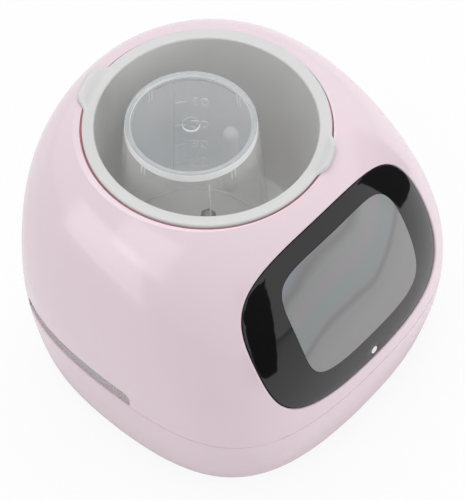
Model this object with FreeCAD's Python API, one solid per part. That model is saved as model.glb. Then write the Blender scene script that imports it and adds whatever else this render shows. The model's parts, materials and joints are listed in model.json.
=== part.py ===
import FreeCAD, Part
import math
import os

# Single-serve ice cream maker: moulded two-part body, lift-out bowl with a spindle, measuring cup,
# chilled well with two fan-cooled Peltier stacks, and a geared motor drive. Millimetres, +Z up, front at -Y.

V = FreeCAD.Vector
os.makedirs("parts", exist_ok=True)

# Moulded body
body_width = 105.0
body_depth = 102.0
body_height = 76.7
foot_height = 1.2
wall = 2.2
floor_thickness = 2.2
bottom_radius = 4.0
seam_height = 22.5
seam_gap = 0.4
lip_height = 2.5
lip_thickness = 1.4
lip_clearance = 0.15
lip_relief_margin = 1.0

# Stations up the body: height above the shell's bottom (negative: below its top), how far the side,
# front and back stand in from the width and depth, and the squareness of the outline
body_stations = [
    (0.0, 2.3, 2.2, 5.8, 2.8),
    (7.7, 0.5, 1.2, 4.6, 2.9),
    (19.2, 0.0, 0.0, 2.3, 3.0),
    (34.5, 0.0, 1.2, 1.4, 2.95),
    (-26.9, 2.4, 5.2, 0.0, 2.7),
    (-11.5, 7.4, 13.3, 0.3, 2.3),
    (0.0, 18.3, 26.8, 7.6, 2.0),
]

# Front window on the body's slope, its screen film and the touch light
window_half_width = 34.3
window_half_height = 23.8
window_squareness = 3.1
window_height = 49.3
window_setback = 12.5
window_tilt = 40.0
window_sweep = 16.0
window_recess = 0.4
window_lip = 0.5
window_thickness = 1.7
window_clearance = 0.2
film_half_width = 22.3
film_half_height = 16.9
film_shift = 1.4
film_squareness = 4.4
film_thickness = 0.15
film_gap = 0.1
touch_light_height = 30.6
touch_light_radius = 1.1
touch_light_clearance = 0.1
carrier_margin = 2.0
carrier_thickness = 1.6
display_thickness = 2.2
display_margin = 1.0
bond_gap = 0.05

# Side air slots
slot_front = -9.9
slot_back = 32.5
slot_height = 5.5
slot_corner = 2.2
grille_recess = 0.5
grille_thickness = 1.3

# Bowl, its rim and grip lugs
bowl_y = 8.8
bowl_radius = 29.0
bowl_depth = 53.0
bowl_draft = 1.2
bowl_wall = 1.3
bowl_floor = 1.6
bowl_corner = 1.0
rim_rise = 0.8
rim_width = 3.25
rim_drop = 3.0
rim_round = 0.5
rim_clearance = 0.55
lug_angles = (-67.0, 108.5)
lug_half_spans = (13.5, 15.0)
lug_reaches = (1.7, 3.0)
lug_lift = 1.0
lug_crease = 1.9
lug_edge = 0.7
lug_clearance = 0.4
lug_corner = 1.6

# Spindle, its bearing in the bowl and the dog under it
spindle_height = 16.0
spindle_head_radius = 2.1
spindle_head_length = 7.0
spindle_flutes = 6
spindle_flute_radius = 0.55
spindle_flute_offset = 0.1
spindle_flute_start = 1.0
spindle_tip = 0.5
spindle_body_radius = 3.2
spindle_journal_radius = 2.5
spindle_collar_radius = 5.0
spindle_collar_height = 0.8
spindle_cone_height = 1.0
hub_radius = 6.6
hub_drop = 1.0
hub_rise = 2.0
hub_taper = 1.0
bush_wall = 2.0
bush_flange = 1.0
seal_thickness = 1.2
seal_gap = 0.1
dog_radius = 7.4
dog_top = 1.3
dog_engage = 3.3
hex_flats = 9.0
hex_clearance = 0.35
coupling_flange_step = 1.0

# Round-headed post on the bowl's floor, beside the cup
post_radius = 2.35
post_neck_radius = 1.95
post_height = 25.3
post_angle = 17.2
post_gap = 0.36

# Measuring cup, upside down in the bowl
cup_height = 56.8
cup_room = 6.8
cup_taper = 5.2
cup_wall = 1.2
cup_foot_width = 1.35
cup_foot_depth = 1.2
cup_gate_radius = 2.1
cup_gate_depth = 0.4
cup_x = -4.6
cup_y = 1.2

# Chilled well with its gasket and insulation
well_clearance = 0.4
well_wall = 1.0
well_hole_radius = 9.5
well_flange_thickness = 1.5
well_pad_size = 22.0
gasket_thickness = 0.6
ledge_thickness = 1.5
ledge_width = 0.8
collar_thickness = 1.6
insulation_thickness = 2.6
insulation_gap = 0.3
insulation_top_gap = 8.0
well_pad_height = 33.0
well_pad_rise = 1.4

# Peltier stacks and fans, one each side
peltier_size = 20.0
peltier_thickness = 3.0
ceramic_thickness = 0.7
peltier_core_inset = 1.0
sink_base = 1.6
sink_fin_height = 3.6
sink_fin_thickness = 1.0
sink_fins = 8
fan_size = 24.0
fan_depth = 4.6
fan_wall = 1.1
fan_gap = 0.3
fan_blades = 7
fan_hub_radius = 5.0
fan_blade_thickness = 0.6
fan_tip_gap = 0.6
fan_pin_radius = 0.8
fan_pin_short = 1.0
fan_spoke = 1.5
fan_arm = 0.9
fan_seat_step = 0.5
fan_rotor_bottom = 1.3
fan_rotor_gap = 0.4
fan_blade_root = 0.4
fan_root_sweep = 1.2
fan_tip_sweep = 2.2

# Drive: motor pinion, double idler and drive gear under the bowl
gear_module = 0.8
pressure_angle = 25.0
tooth_addendum = 0.8
tooth_dedendum = 1.05
tooth_backlash = 0.10
pinion_teeth = 10
idler_small_teeth = 12
drive_teeth = 41
drive_gear_thickness = 3.5
idler_big_thickness = 2.6
idler_overhang = 0.1
pinion_overhang = 0.2
gear_gap = 0.6
shaft_radius = 2.5
idler_pin_radius = 1.5
running_clearance = 0.05
shaft_end_gap = 0.3
seat_clearance = 0.02
lift_clearance = 0.4
boss_wall = 2.2
boss_height = 2.2
socket_depth = 0.9
plate_thickness = 2.0
plate_margin = 4.0
plate_front_margin = 1.0
plate_corner = 6.0
pillar_radius = 3.0
motor_radius = 6.0
motor_length = 24.0
motor_flat = 5.0
motor_gap = 0.8
motor_nose_radius = 2.5
motor_nose_short = 0.4
motor_cap_height = 1.2
motor_overlap = 1.0
motor_bore_depth = 6.0
motor_shaft_depth = 5.5
motor_shaft_radius = 0.75

# Air intake under the floor
vent_rows = 5
vent_pitch = 5.0
vent_length = 10.0
vent_width = 2.2

# Electrics
control_board_width = 56.0
control_board_height = 13.5
control_board_bottom = 23.0
control_board_gap = 3.4
board_post_inset = 2.2
board_post_low = 29.3
board_post_high = 34.3
board_thickness = 1.6
board_post_radius = 1.8
driver_board_width = 32.0
driver_board_depth = 14.0
driver_board_rise = 2.2
inlet_width = 9.0
inlet_body_height = 10.0
inlet_body_depth = 13.0
inlet_nose_radius = 4.4
inlet_recess = 0.3
inlet_bore_radius = 3.2
inlet_pin_radius = 1.0
inlet_clearance = 0.1
inlet_step = 1.0
inlet_floor = 2.0
inlet_pin_reach = 0.5
led_width = 3.2
led_height = 2.4
led_depth = 1.0
chip_x = -12.5
chip_size = 7.0
chip_depth = 1.4
plug_x = 16.5
plug_width = 9.0
plug_height = 5.0
plug_depth = 2.6
board_part_rise = 3.0
capacitor_radius = 2.5
capacitor_height = 7.0
capacitor_inset = 5.0
coil_width = 6.0
coil_depth = 7.0
coil_height = 4.0
coil_inset = 2.0

# Fasteners and feet
case_post_radius = 3.4
case_post_top = 46.0
case_post_front = (38.5, -29.0)
case_post_back = (35.0, 31.0)
screw_radius = 1.3
screw_head_radius = 2.6
screw_head_height = 1.6
screw_head_recess = 0.4
screw_head_clearance = 0.3
screw_clearance = 0.2
screw_tip_room = 1.0
post_split_height = 6.0
case_screw_length = 10.0
plate_screw_length = 7.0
foot_radius = 4.5
foot_recess = 0.8
foot_clearance = 0.1
foot_front = (26.0, -34.0)
foot_back = (24.0, 32.5)

# Levels and radii worked out from the sizes above
shell_bottom = foot_height
shell_top = foot_height + body_height
seam_z = foot_height + seam_height
floor_z = foot_height + floor_thickness
socket_z = floor_z - socket_depth
rim_z = shell_top + rim_rise
rim_radius = bowl_radius + rim_width
opening_radius = rim_radius + rim_clearance
bowl_floor_z = rim_z - bowl_depth
bowl_bottom_z = bowl_floor_z - bowl_floor
bowl_foot_radius = bowl_radius - bowl_draft
hub_z = bowl_bottom_z - hub_drop
gasket_z = rim_z - rim_drop - lift_clearance
flange_z = gasket_z - gasket_thickness
ledge_z = flange_z - well_flange_thickness
well_radius = bowl_radius + bowl_wall + well_clearance
well_floor_z = bowl_bottom_z - well_clearance
well_outer = well_radius + well_wall
pad_x = well_outer + well_pad_rise
pad_z = well_pad_height + foot_height
insulation_inner = well_outer + insulation_gap
insulation_outer = insulation_inner + insulation_thickness
hub_top_z = bowl_floor_z + hub_rise
cup_mouth_radius = bowl_radius - cup_room
cup_base_radius = cup_mouth_radius - cup_taper
motor_reach = well_outer + motor_radius + motor_gap
train_teeth = math.ceil(2 * motor_reach / gear_module)
idler_big_teeth = train_teeth - drive_teeth - idler_small_teeth - pinion_teeth
drive_radius = gear_module * drive_teeth / 2
idler_big_radius = gear_module * idler_big_teeth / 2
idler_small_radius = gear_module * idler_small_teeth / 2
pinion_radius = gear_module * pinion_teeth / 2
idler_y = bowl_y - drive_radius - idler_small_radius
motor_y = idler_y - idler_big_radius - pinion_radius
drive_gear_z = floor_z + boss_height + lift_clearance
idler_big_z = drive_gear_z + drive_gear_thickness + gear_gap
plate_z = idler_big_z + idler_big_thickness + gear_gap
plate_top_z = plate_z + plate_thickness
dog_z = hub_z - lift_clearance - dog_top
coupling_top_z = dog_z - lift_clearance
dog_bottom_z = coupling_top_z - dog_engage


def box(x0, x1, y0, y1, z0, z1):
    return Part.makeBox(x1 - x0, y1 - y0, z1 - z0, V(x0, y0, z0))


def cylinder(radius, z0, z1, x=0.0, y=0.0):
    return Part.makeCylinder(radius, z1 - z0, V(x, y, z0))


def tube(outer, inner, z0, z1, x=0.0, y=0.0):
    return cylinder(outer, z0, z1, x, y).cut(cylinder(inner, z0, z1, x, y))


def rod_y(radius, y0, y1, x, z):
    return Part.makeCylinder(radius, y1 - y0, V(x, y0, z), V(0, 1, 0))


def polygon_face(points):
    return Part.Face(Part.makePolygon(points + [points[0]]))


def revolved(profile, x=0.0, y=0.0):
    # profile is a closed list of (radius, height) corners
    face = polygon_face([V(r, 0, z) for r, z in profile])
    solid = face.revolve(V(0, 0, 0), V(0, 0, 1), 360)
    solid.translate(V(x, y, 0))
    return solid


def fused(shapes):
    result = shapes[0]
    for shape in shapes[1:]:
        result = result.fuse(shape)
    return result.removeSplitter()


def export(name, shape):
    shape.exportStep("parts/" + name + ".step")


def on_both_sides(name, shape):
    # shape is the right-hand piece, and its mirror image is the left-hand one
    export(name + "_right", shape)
    export(name + "_left", shape.mirror(V(0, 0, 0), V(1, 0, 0)))


def squared_oval(half_x, half_y, squareness, place):
    # Closed outline of four cubic quarters; place turns flat coordinates into a point
    pull = (8 * 2 ** (-1 / squareness) - 4) / 3
    ends = [(half_x, 0.0), (0.0, half_y), (-half_x, 0.0), (0.0, -half_y)]
    quarters = []
    for i, (x0, y0) in enumerate(ends):
        x1, y1 = ends[(i + 1) % 4]
        handle0 = (x0 + pull * x1, y0 + pull * y1)
        handle1 = (x1 + pull * x0, y1 + pull * y0)
        curve = Part.BezierCurve()
        curve.setPoles([place(x, y) for x, y in ((x0, y0), handle0, handle1, (x1, y1))])
        quarters.append(curve.toShape())
    return Part.Wire(quarters)


def station_sizes():
    # height, half width, front, back and squareness of each station
    sizes = []
    for i, (height, side, front, back, squareness) in enumerate(body_stations):
        from_top = height < 0 or i == len(body_stations) - 1
        z = shell_top + height if from_top else shell_bottom + height
        sizes.append((z, body_width / 2 - side, front - body_depth / 2, body_depth / 2 - back, squareness))
    return sizes


def body_solid(inset):
    # The body's skin moved inwards, square to its slope
    sizes = station_sizes()
    mean = [(half + (back - front) / 2) / 2 for z, half, front, back, squareness in sizes]
    wires = []
    for i, (z, half, front, back, squareness) in enumerate(sizes):
        low = max(i - 1, 0)
        high = min(i + 1, len(sizes) - 1)
        slope = (mean[high] - mean[low]) / (sizes[high][0] - sizes[low][0])
        share = 1 / math.hypot(1, slope)
        inward = inset * share
        drop = 0.0 if i == 0 else -inset * slope * share
        half_depth = (back - front) / 2 - inward
        centre = (back + front) / 2
        wires.append(squared_oval(half - inward, half_depth, squareness,
                                  lambda x, y, c=centre, h=z - drop: V(x, c + y, h)))
    return Part.makeLoft(wires, True, False)


def front_prism(half_width, half_height, shift, squareness):
    # Squared oval square to the front's slope, pushed through the skin; shift moves it up the slope
    turn = math.radians(window_tilt)
    along = V(0, math.sin(turn), math.cos(turn))
    outward = V(0, -math.cos(turn), math.sin(turn))
    centre = V(0, window_setback - body_depth / 2, foot_height + window_height) + outward * window_sweep
    wire = squared_oval(half_width, half_height, squareness,
                        lambda x, rise: centre + V(x, 0, 0) + along * (shift + rise))
    return Part.Face(wire).extrude(outward * (-2 * window_sweep))


def window_prism(margin):
    return front_prism(window_half_width + margin, window_half_height + margin, 0.0, window_squareness)


def film_prism(margin):
    return front_prism(film_half_width + margin, film_half_height + margin, film_shift, film_squareness)


def slot_prism(margin, bottom):
    # Air slot seen from the side: square below, round at its two upper corners
    y0 = slot_front - margin
    y1 = slot_back + margin
    top = seam_z + slot_height + margin
    block = box(body_width / 4, body_width, y0, y1, bottom, top)
    corners = [edge for edge in block.Edges
               if all(abs(vertex.Z - top) < 0.01 for vertex in edge.Vertexes)
               and abs(edge.Vertexes[0].Y - edge.Vertexes[1].Y) < 0.01]
    return block.makeFillet(slot_corner + margin, corners)


def mirrored(shape):
    return shape.mirror(V(0, 0, 0), V(1, 0, 0))


def four_corners(front, back):
    return [(side * x, y) for x, y in (front, back) for side in (-1, 1)]


def gear(teeth, z0, z1, tooth_angle, y):
    # Involute gear with one tooth centred on tooth_angle
    pitch = gear_module * teeth / 2
    alpha = math.radians(pressure_angle)
    base = pitch * math.cos(alpha)
    root = pitch - tooth_dedendum * gear_module
    tip = pitch + tooth_addendum * gear_module
    start = max(base, root)
    half_pitch_angle = math.pi / (2 * teeth) - tooth_backlash / (2 * pitch)
    flank = []
    for step in range(3):
        radius = start + (tip - start) * step / 2
        roll = math.acos(min(1.0, base / radius))
        flank.append((radius, half_pitch_angle + math.tan(alpha) - alpha - math.tan(roll) + roll))
    points = []
    for tooth in range(teeth):
        centre = math.radians(tooth_angle) + 2 * math.pi * tooth / teeth
        rising = [(root, flank[0][1])] + flank if root < start else flank
        side = [(radius, centre - angle) for radius, angle in rising]
        side += [(radius, centre + angle) for radius, angle in reversed(rising)]
        points += [V(r * math.cos(a), y + r * math.sin(a), z0) for r, a in side]
    return polygon_face(points).extrude(V(0, 0, z1 - z0))


def hexagon(flats, z0, z1, y):
    reach = flats / math.sqrt(3)
    turns = [math.pi * i / 3 for i in range(6)]
    points = [V(reach * math.cos(turn), y + reach * math.sin(turn), z0) for turn in turns]
    return polygon_face(points).extrude(V(0, 0, z1 - z0))


def screw(x, y, seat_z, length, up):
    # Pan-head screw whose head bears at seat_z; up is 1 when it is driven upwards, -1 downwards
    head = cylinder(screw_head_radius, *sorted((seat_z, seat_z - up * screw_head_height)), x, y)
    shank = cylinder(screw_radius - seat_clearance, *sorted((seat_z, seat_z + up * length)), x, y)
    return fused([head, shank])


# Surfaces and places that several pieces share
skin = body_solid(0.0)
bottom_edges = [edge for edge in skin.Edges if edge.BoundBox.ZMax < shell_bottom + 0.01]
skin = skin.makeFillet(bottom_radius, bottom_edges)
cavity = body_solid(wall)
far = 2 * (body_width + body_depth)
case_posts = four_corners(case_post_front, case_post_back)
case_screw_z = shell_bottom + screw_head_height + screw_head_recess
post_bottom_z = floor_z + post_split_height
gear_post_x = drive_radius + pillar_radius
gear_post_front = idler_y - idler_big_radius + pillar_radius
gear_post_back = bowl_y + drive_radius - pillar_radius
gear_posts = four_corners((gear_post_x, gear_post_front), (gear_post_x, gear_post_back))
window_back = window_recess + window_thickness
carrier_front = wall + 2 * bond_gap
carrier_back = carrier_front + carrier_thickness
touch_light_z = foot_height + touch_light_height
control_board_y = motor_y - motor_radius - control_board_gap - board_thickness
driver_back = body_depth / 2 - body_stations[1][3] - wall - lip_thickness - lip_clearance
driver_front = driver_back - driver_board_depth
driver_z = floor_z + driver_board_rise
driver_posts = four_corners((driver_board_width / 2 - board_post_inset, driver_front + board_post_inset),
                            (driver_board_width / 2 - board_post_inset, driver_back - board_post_inset))
inlet_z = driver_z + board_thickness + inlet_body_height / 2
sink_x = pad_x + peltier_thickness
fan_x = sink_x + sink_base + sink_fin_height + fan_gap
slot_right = slot_prism(0.0, seam_z - lip_height)
lip_relief = slot_prism(lip_relief_margin, seam_z - seam_gap / 2)


def level(z0, z1):
    return box(-far, far, -far, far, z0, z1)


def between(outer_inset, inner_inset):
    return body_solid(outer_inset).cut(body_solid(inner_inset))


def lipped(shell):
    # Rounds the outer edge of the window's aperture
    inside = body_solid(wall / 4)
    around = window_prism(bond_gap)
    edges = []
    for edge in shell.Edges:
        middle = edge.valueAt((edge.FirstParameter + edge.LastParameter) / 2)
        if around.isInside(middle, bond_gap / 2, True) and not inside.isInside(middle, bond_gap / 2, True):
            edges.append(edge)
    return shell.makeFillet(window_lip, edges)


def upper_shell():
    shell = skin.cut(cavity).common(level(seam_z + seam_gap / 2, shell_top + wall))
    shell = lipped(shell.cut(window_prism(0.0)))
    collar = tube(opening_radius + collar_thickness, opening_radius - ledge_width,
                  ledge_z - ledge_thickness, shell_top, 0, bowl_y)
    pieces = [shell, collar.common(skin)]
    post_skin = body_solid(wall / 2)
    rib_z = seam_z + slot_height + lip_height
    post_top_z = foot_height + case_post_top
    for x, y in case_posts:
        post = cylinder(case_post_radius, post_bottom_z, post_top_z, x, y)
        edge_x = math.copysign(body_width / 2, x)
        rib = box(min(x, edge_x), max(x, edge_x), y - wall / 2, y + wall / 2, rib_z, post_top_z)
        pieces.append(post.fuse(rib).common(post_skin))
    shell = fused(pieces)
    shell = shell.cut(cylinder(opening_radius, ledge_z, rim_z, 0, bowl_y))
    shell = shell.cut(cylinder(opening_radius - ledge_width, seam_z, rim_z, 0, bowl_y))
    shell = shell.cut(slot_right).cut(mirrored(slot_right))
    for x, y in case_posts:
        shell = shell.cut(cylinder(screw_radius, 0, case_screw_z + case_screw_length + screw_tip_room, x, y))
    return shell


def base_shell():
    shell = skin.cut(cavity.common(level(floor_z, shell_top))).common(level(0, seam_z - seam_gap / 2))
    lip_outer = wall + lip_clearance
    inside = body_solid(lip_outer + lip_thickness)
    lip = body_solid(lip_outer).cut(inside).common(level(seam_z - lip_height, seam_z + lip_height))
    lip = lip.cut(lip_relief).cut(mirrored(lip_relief))
    root = skin.cut(inside).common(level(seam_z - 2 * lip_height, seam_z - lip_height))
    pieces = [shell, root, lip]
    post_z = shell_bottom + floor_thickness / 2
    posts = [(case_post_radius, post_bottom_z - bond_gap, case_posts), (pillar_radius, plate_z, gear_posts),
             (board_post_radius, driver_z, driver_posts),
             (shaft_radius + bush_wall + boss_wall, floor_z + boss_height, [(0, bowl_y)]),
             (idler_pin_radius + boss_wall, floor_z + boss_height, [(0, idler_y)])]
    for radius, top, places in posts:
        pieces += [cylinder(radius, post_z, top, x, y) for x, y in places]
    shell = fused(pieces)
    holes = [cylinder(shaft_radius + bush_wall + seat_clearance, socket_z, seam_z, 0, bowl_y),
             cylinder(idler_pin_radius + seat_clearance, socket_z, seam_z, 0, idler_y),
             rod_y(inlet_nose_radius + inlet_clearance, driver_back, body_depth, 0, inlet_z)]
    for x, y in case_posts:
        holes.append(cylinder(screw_head_radius + screw_head_clearance, 0, case_screw_z, x, y))
        holes.append(cylinder(screw_radius + screw_clearance, 0, seam_z, x, y))
    for x, y in gear_posts:
        holes.append(cylinder(screw_radius, plate_top_z - plate_screw_length - screw_tip_room, seam_z, x, y))
    for x, y in four_corners(foot_front, foot_back):
        holes.append(cylinder(foot_radius, 0, shell_bottom + foot_recess, x, y))
    for side in (-1, 1):
        for row in range(vent_rows):
            x = side * (pad_x - vent_length / 4)
            y = bowl_y + (row - (vent_rows - 1) / 2) * vent_pitch
            holes.append(box(x - vent_length / 2, x + vent_length / 2, y - vent_width / 2, y + vent_width / 2,
                             0, floor_z + wall))
    return shell.cut(holes)


def window_panel():
    plate = between(window_recess, window_back).common(window_prism(-window_clearance))
    return plate.cut(rod_y(touch_light_radius + touch_light_clearance, -body_depth, 0, 0, touch_light_z))


def screen_film():
    back = window_recess - film_gap
    return between(back - film_thickness, back).common(film_prism(0.0))


def touch_light():
    rod = rod_y(touch_light_radius, -body_depth, 0, 0, touch_light_z)
    return rod.common(between(window_recess, carrier_back + display_thickness))


def window_carrier():
    plate = between(carrier_front, carrier_back).common(window_prism(carrier_margin))
    plate = plate.cut(cylinder(opening_radius + collar_thickness + window_clearance, 0, rim_z, 0, bowl_y))
    plate = plate.common(level(seam_z + lip_height + window_clearance, rim_z))
    pieces = [plate.cut(film_prism(-carrier_margin))]
    inside = body_solid((carrier_front + carrier_back) / 2)
    x = control_board_width / 2 - board_post_inset
    for side in (-1, 1):
        for height in (board_post_low, board_post_high):
            post = rod_y(board_post_radius, -body_depth, control_board_y, side * x, foot_height + height)
            pieces.append(post.common(inside))
    hole = rod_y(touch_light_radius + touch_light_clearance, -body_depth, 0, 0, touch_light_z)
    return fused(pieces).cut(hole)


def display_module():
    front = carrier_back + bond_gap
    return between(front, front + display_thickness).common(film_prism(-display_margin))


def control_board():
    half = control_board_width / 2
    bottom = foot_height + control_board_bottom
    back = control_board_y + board_thickness
    board = box(-half, half, control_board_y, back, bottom, bottom + control_board_height)
    led = box(-led_width / 2, led_width / 2, control_board_y - led_depth, control_board_y,
              touch_light_z - led_height / 2, touch_light_z + led_height / 2)
    low = bottom + board_part_rise
    chip = box(chip_x - chip_size / 2, chip_x + chip_size / 2, back, back + chip_depth, low, low + chip_size)
    plug = box(plug_x - plug_width / 2, plug_x + plug_width / 2, back, back + plug_depth,
               low, low + plug_height)
    return fused([board, led, chip, plug])


def grille():
    plate = between(grille_recess, grille_recess + grille_thickness)
    return plate.common(slot_prism(-lip_clearance, seam_z + bond_gap))


def bowl():
    outer_top = bowl_radius + bowl_wall
    outer_foot = bowl_foot_radius + bowl_wall
    bore = spindle_journal_radius + running_clearance + bush_wall + seat_clearance
    solid = revolved([(bore, hub_z), (hub_radius, hub_z), (hub_radius, bowl_bottom_z),
                      (outer_foot, bowl_bottom_z), (outer_top, rim_z - rim_drop),
                      (rim_radius, rim_z - rim_drop), (rim_radius, rim_z), (bowl_radius, rim_z),
                      (bowl_foot_radius, bowl_floor_z), (hub_radius, bowl_floor_z),
                      (hub_radius - hub_taper, hub_top_z), (bore, hub_top_z)])
    solid = rounded(solid, rim_round, [(rim_radius, rim_z), (bowl_radius, rim_z)])
    solid = rounded(solid, bowl_corner, [(bowl_foot_radius, bowl_floor_z)])
    solid = rounded(solid, bowl_corner + bowl_wall, [(outer_foot, bowl_bottom_z)])
    lugs = [grip_lug(*sizes) for sizes in zip(lug_angles, lug_half_spans, lug_reaches)]
    solid = fused([solid] + lugs)
    solid.translate(V(0, bowl_y, 0))
    return solid


def rounded(solid, radius, circles):
    # circles are (radius, height) of round edges about the Z axis
    edges = []
    for edge in solid.Edges:
        if hasattr(edge.Curve, "Radius"):
            for size, z in circles:
                if abs(edge.Curve.Radius - size) < 0.01 and abs(edge.Curve.Center.z - z) < 0.01:
                    edges.append(edge)
    return solid.makeFillet(radius, edges)


def grip_lug(angle, half_span, reach):
    inner = bowl_radius + lug_crease
    outer = rim_radius + reach
    under = shell_top + lug_clearance
    profile = [(inner, under), (inner, rim_z), (outer - lug_edge, rim_z + lug_lift),
               (outer, rim_z + lug_lift - lug_edge), (outer, under)]
    face = polygon_face([V(r, 0, z) for r, z in profile])
    face.rotate(V(0, 0, 0), V(0, 0, 1), angle - half_span)
    lug = face.revolve(V(0, 0, 0), V(0, 0, 1), 2 * half_span)
    corners = []
    for edge in lug.Edges:
        first = edge.Vertexes[0].Point
        last = edge.Vertexes[-1].Point
        upright = math.hypot(first.x - last.x, first.y - last.y) < 0.01
        if upright and math.hypot(first.x, first.y) > outer - 0.01:
            corners.append(edge)
    return lug.makeFillet(lug_corner, corners)


def spindle():
    collar_z = hub_top_z + lift_clearance
    top_z = bowl_floor_z + spindle_height
    head_z = top_z - spindle_head_length
    solid = revolved([(0, dog_z), (spindle_journal_radius, dog_z), (spindle_journal_radius, collar_z),
                      (spindle_collar_radius, collar_z),
                      (spindle_collar_radius, collar_z + spindle_collar_height),
                      (spindle_body_radius, collar_z + spindle_collar_height + spindle_cone_height),
                      (spindle_head_radius, head_z), (spindle_head_radius, top_z - spindle_tip),
                      (spindle_head_radius - spindle_tip, top_z), (0, top_z)], 0, bowl_y)
    flutes = []
    for i in range(spindle_flutes):
        angle = 2 * math.pi * i / spindle_flutes
        reach = spindle_head_radius + spindle_flute_offset
        flutes.append(cylinder(spindle_flute_radius, head_z + spindle_flute_start, rim_z,
                               reach * math.cos(angle), bowl_y + reach * math.sin(angle)))
    return solid.cut(flutes)


def spindle_bush():
    inner = spindle_journal_radius + running_clearance
    return tube(inner + bush_wall, inner, hub_z, hub_top_z - seal_thickness - 2 * seal_gap, 0, bowl_y)


def spindle_seal():
    inner = spindle_journal_radius + running_clearance
    top = hub_top_z - seal_gap
    return tube(inner + bush_wall, inner, top - seal_thickness, top, 0, bowl_y)


def bowl_dog():
    top_z = dog_z + dog_top
    body = cylinder(dog_radius, dog_bottom_z, top_z, 0, bowl_y)
    body = body.cut(hexagon(hex_flats + 2 * hex_clearance, dog_bottom_z, dog_z, bowl_y))
    return body.cut(cylinder(spindle_journal_radius + seat_clearance, dog_z, top_z, 0, bowl_y))


def bowl_post():
    reach = cup_mouth_radius + post_radius + post_gap
    turn = math.radians(post_angle)
    foot = V(cup_x + reach * math.cos(turn), bowl_y + cup_y + reach * math.sin(turn), bowl_floor_z)
    stem_height = post_height - post_radius
    stem = Part.makeCone(post_radius, post_neck_radius, stem_height, foot)
    return fused([stem, Part.makeSphere(post_radius, foot + V(0, 0, stem_height))])


def measuring_cup():
    mouth_z = bowl_floor_z + lift_clearance
    top_z = mouth_z + cup_height
    base_z = top_z - cup_foot_depth
    foot_inner = cup_base_radius - cup_foot_width
    slope = (cup_mouth_radius - cup_base_radius) / cup_height
    inner_top = cup_base_radius - cup_wall + slope * (top_z - base_z + cup_wall)
    return revolved([(0, base_z - cup_gate_depth), (cup_gate_radius, base_z - cup_gate_depth),
                     (cup_gate_radius, base_z), (foot_inner, base_z), (foot_inner, top_z),
                     (cup_base_radius, top_z), (cup_mouth_radius, mouth_z),
                     (cup_mouth_radius - cup_wall, mouth_z), (inner_top, base_z - cup_wall),
                     (0, base_z - cup_wall)], cup_x, bowl_y + cup_y)


def well():
    foot = well_radius - bowl_draft
    floor_bottom = well_floor_z - well_wall
    outside = revolved([(0, floor_bottom), (foot + well_wall, floor_bottom), (well_outer, ledge_z),
                        (opening_radius - 2 * lip_clearance, ledge_z),
                        (opening_radius - 2 * lip_clearance, flange_z), (0, flange_z)], 0, bowl_y)
    half = well_pad_size / 2
    pads = box(-pad_x, pad_x, bowl_y - half, bowl_y + half, pad_z - half, pad_z + half)
    inside = revolved([(0, well_floor_z), (foot, well_floor_z), (well_radius, rim_z), (0, rim_z)], 0, bowl_y)
    solid = fused([outside, pads]).cut(inside)
    return solid.cut(cylinder(well_hole_radius, 0, bowl_floor_z, 0, bowl_y))


def well_gasket():
    return tube(opening_radius - 2 * lip_clearance, well_radius, flange_z, gasket_z, 0, bowl_y)


def well_insulation():
    top = ledge_z - ledge_thickness - insulation_top_gap
    sleeve = tube(insulation_outer, insulation_inner, well_floor_z, top, 0, bowl_y)
    half = well_pad_size / 2 + insulation_gap
    sleeve = sleeve.cut(box(-far, far, bowl_y - half, bowl_y + half, 0, pad_z + half))
    room = motor_radius + 2 * insulation_gap
    return sleeve.cut(box(-room, room, -far, motor_y + room, 0,
                          plate_top_z + motor_length + motor_cap_height + insulation_gap))


def peltier():
    half = peltier_size / 2
    x1 = pad_x + peltier_thickness
    plates = [box(x, x + ceramic_thickness, bowl_y - half, bowl_y + half, pad_z - half, pad_z + half)
              for x in (pad_x, x1 - ceramic_thickness)]
    core = half - peltier_core_inset
    return fused(plates + [box(pad_x, x1, bowl_y - core, bowl_y + core, pad_z - core, pad_z + core)])


def heat_sink():
    half = well_pad_size / 2
    base_x = sink_x + sink_base
    pieces = [box(sink_x, base_x, bowl_y - half, bowl_y + half, pad_z - half, pad_z + half)]
    pitch = (well_pad_size - sink_fin_thickness) / (sink_fins - 1)
    for i in range(sink_fins):
        y = bowl_y - half + i * pitch
        pieces.append(box(base_x, base_x + sink_fin_height, y, y + sink_fin_thickness,
                          pad_z - half, pad_z + half))
    return fused(pieces)


def fan_placed(shape):
    # From a fan drawn along Z at the origin to its place behind the right-hand slot
    return shape.rotated(V(0, 0, 0), V(0, 1, 0), 90).translated(V(fan_x, bowl_y, pad_z))


def fan_frame():
    half = fan_size / 2
    frame = box(-half, half, -half, half, 0, fan_depth).cut(cylinder(half - fan_wall, 0, fan_depth))
    arms = []
    for i in range(4):
        arms.append(box(-fan_spoke / 2, fan_spoke / 2, 0, half - fan_wall / 2, 0, fan_arm)
                    .rotated(V(0, 0, 0), V(0, 0, 1), 90 * i))
    seat = cylinder(fan_hub_radius - fan_seat_step, 0, fan_arm)
    pin = cylinder(fan_pin_radius, 0, fan_depth - fan_pin_short)
    return fan_placed(fused([frame, seat, pin] + arms))


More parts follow.
